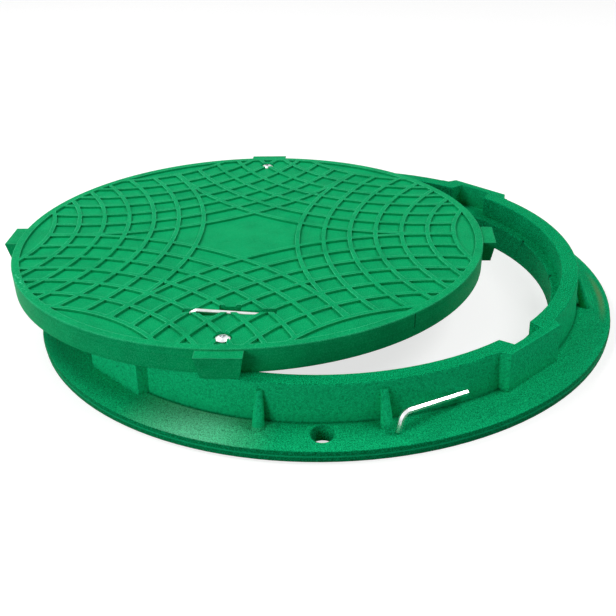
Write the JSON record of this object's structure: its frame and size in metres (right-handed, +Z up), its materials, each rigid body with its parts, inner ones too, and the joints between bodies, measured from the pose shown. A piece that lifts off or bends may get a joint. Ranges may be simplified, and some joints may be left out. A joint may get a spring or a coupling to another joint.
{
  "type": "septic tank cover",
  "caption": "Round green septic tank cover: ground frame, ridged lid with four lugs, two turning locks, lifting handle and hexagon key.",
  "frame": {"origin": "centre of the frame at the bottom of its ground flange", "axes": "+Z up along the frame's axis, +X to the right as the cover is pictured, with an anchor hole at the front on -Y"},
  "size_m": [0.8003, 0.754, 0.0988],
  "materials": {
    "frame_plastic": "matte, grainy green polymer and sand composite",
    "lid_plastic": "matt green polymer and sand composite, brighter than the frame",
    "bolt_steel": "stainless button-head bolt",
    "zinc_plate": "zinc-plated steel",
    "plated_rod": "bright zinc-plated rod",
    "key_steel": "bright plated steel"
  },
  "bodies": {
    "frame_and_lid": {"frame": "frame_plastic", "lid": "lid_plastic", "hex_key": "key_steel"},
    "lock_front": {"lock_bolt_front": "bolt_steel", "lock_washer_front": "zinc_plate", "lock_cam_front": "zinc_plate", "lock_nut_front": "zinc_plate"},
    "lock_back": {"lock_bolt_back": "bolt_steel", "lock_washer_back": "zinc_plate", "lock_cam_back": "zinc_plate", "lock_nut_back": "zinc_plate"},
    "handle": {"lifting_handle": "plated_rod"}
  },
  "joints": [
    {"name": "front_lock_turn", "type": "hinge", "parent": "frame_and_lid", "child": "lock_front", "pos_m": [-0.10743, -0.27668, 0.053], "axis": [0, 0, 1], "range_deg": [-90, 0]},
    {"name": "back_lock_turn", "type": "hinge", "parent": "frame_and_lid", "child": "lock_back", "pos_m": [-0.09097, 0.27808, 0.053], "axis": [0, 0, 1], "range_deg": [0, 90]},
    {"name": "handle_lift", "type": "slide", "parent": "frame_and_lid", "child": "handle", "axis": [0, 0, 1], "range_m": [0, 0.035]}
  ]
}
